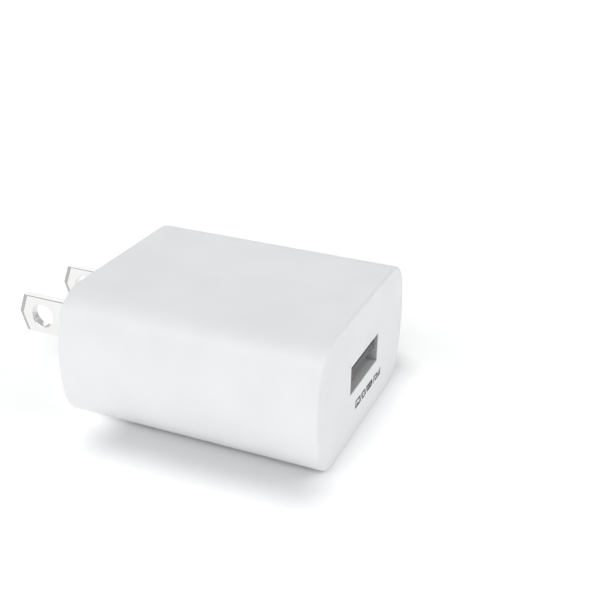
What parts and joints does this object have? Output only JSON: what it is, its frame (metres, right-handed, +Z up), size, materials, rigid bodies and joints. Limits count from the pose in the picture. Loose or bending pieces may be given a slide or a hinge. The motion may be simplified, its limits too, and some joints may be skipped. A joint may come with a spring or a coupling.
{
  "type": "usb wall charger",
  "caption": "Flat wall charger case with gently bulged sides, fixed flat blades on one end and a type A USB port on the other.",
  "frame": {"origin": "centre of the wall face, midway between the two blades and halfway up the case", "axes": "+Y leaves the wall face along the blades, the port faces -Y, +X runs from the left blade to the right one, +Z is up when the charger lies on its broad side"},
  "size_m": [0.0384, 0.059, 0.0218],
  "materials": {
    "case_plastic": "satin white, moulded ABS and polycarbonate",
    "blade_metal": "bright nickel plate on brass",
    "shell_steel": "tin-plated steel sheet",
    "insulator_plastic": "mid-grey glass-filled plastic",
    "contact_gold": "gold-flashed phosphor bronze",
    "board_laminate": "single-sided paper-phenolic board",
    "ferrite": "ground ferrite, matt dark grey",
    "bobbin_resin": "black moulded phenolic",
    "copper_wire": "enamelled copper winding",
    "polyester_tape": "yellow polyester tape",
    "capacitor_can": "drawn aluminium can with tinned leads",
    "capacitor_sleeve": "dark blue shrunk PVC",
    "black_epoxy": "black moulded epoxy",
    "blue_epoxy": "blue dipped epoxy over a ceramic disc",
    "resistor_coating": "flameproof green-grey coating",
    "chip_ceramic": "ceramic chip with tinned ends",
    "wire_insulation": "black PVC over stranded copper",
    "barrier_film": "natural fish paper"
  },
  "bodies": {
    "charger": {"housing": "case_plastic", "back_cover": "case_plastic", "blade_left": "blade_metal", "blade_right": "blade_metal", "usb_shell": "shell_steel", "usb_insulator": "insulator_plastic", "usb_terminal_1": "contact_gold", "usb_terminal_2": "contact_gold", "usb_terminal_3": "contact_gold", "usb_terminal_4": "contact_gold", "main_board": "board_laminate", "transformer_core_front": "ferrite", "transformer_core_rear": "ferrite", "choke_core": "ferrite", "transformer_bobbin": "bobbin_resin", "transformer_winding": "copper_wire", "choke_winding": "copper_wire", "winding_tape": "polyester_tape", "core_tape": "polyester_tape", "input_capacitor_1_can": "capacitor_can", "input_capacitor_2_can": "capacitor_can", "output_capacitor_1_can": "capacitor_can", "output_capacitor_2_can": "capacitor_can", "supply_capacitor_can": "capacitor_can", "input_capacitor_1_sleeve": "capacitor_sleeve", "input_capacitor_2_sleeve": "capacitor_sleeve", "output_capacitor_1_sleeve": "capacitor_sleeve", "output_capacitor_2_sleeve": "capacitor_sleeve", "supply_capacitor_sleeve": "capacitor_sleeve", "output_diode": "black_epoxy", "choke_sleeve": "black_epoxy", "bridge_rectifier": "black_epoxy", "controller_ic": "black_epoxy", "snubber_diode": "black_epoxy", "port_id_chip": "black_epoxy", "safety_capacitor": "blue_epoxy", "fusible_resistor": "resistor_coating", "snubber_resistor": "chip_ceramic", "snubber_capacitor": "chip_ceramic", "startup_resistor_1": "chip_ceramic", "startup_resistor_2": "chip_ceramic", "sense_resistor": "chip_ceramic", "feedback_resistor_1": "chip_ceramic", "feedback_resistor_2": "chip_ceramic", "load_resistor": "chip_ceramic", "filter_capacitor": "chip_ceramic", "wire_left": "wire_insulation", "wire_right": "wire_insulation", "insulation_barrier": "barrier_film"},
    "contact_1": {"usb_contact_1": "contact_gold"},
    "contact_2": {"usb_contact_2": "contact_gold"},
    "contact_3": {"usb_contact_3": "contact_gold"},
    "contact_4": {"usb_contact_4": "contact_gold"}
  },
  "joints": [
    {"name": "contact_1_flex", "type": "hinge", "parent": "charger", "child": "contact_1", "pos_m": [-0.0035, -0.0334, 0.0006], "axis": [-1, 0, 0], "range_deg": [0, 3], "stiffness_Nm_per_rad": 0.12},
    {"name": "contact_2_flex", "type": "hinge", "parent": "charger", "child": "contact_2", "pos_m": [-0.001, -0.0334, 0.0006], "axis": [-1, 0, 0], "range_deg": [0, 3], "stiffness_Nm_per_rad": 0.12},
    {"name": "contact_3_flex", "type": "hinge", "parent": "charger", "child": "contact_3", "pos_m": [0.001, -0.0334, 0.0006], "axis": [-1, 0, 0], "range_deg": [0, 3], "stiffness_Nm_per_rad": 0.12},
    {"name": "contact_4_flex", "type": "hinge", "parent": "charger", "child": "contact_4", "pos_m": [0.0035, -0.0334, 0.0006], "axis": [-1, 0, 0], "range_deg": [0, 3], "stiffness_Nm_per_rad": 0.12}
  ]
}
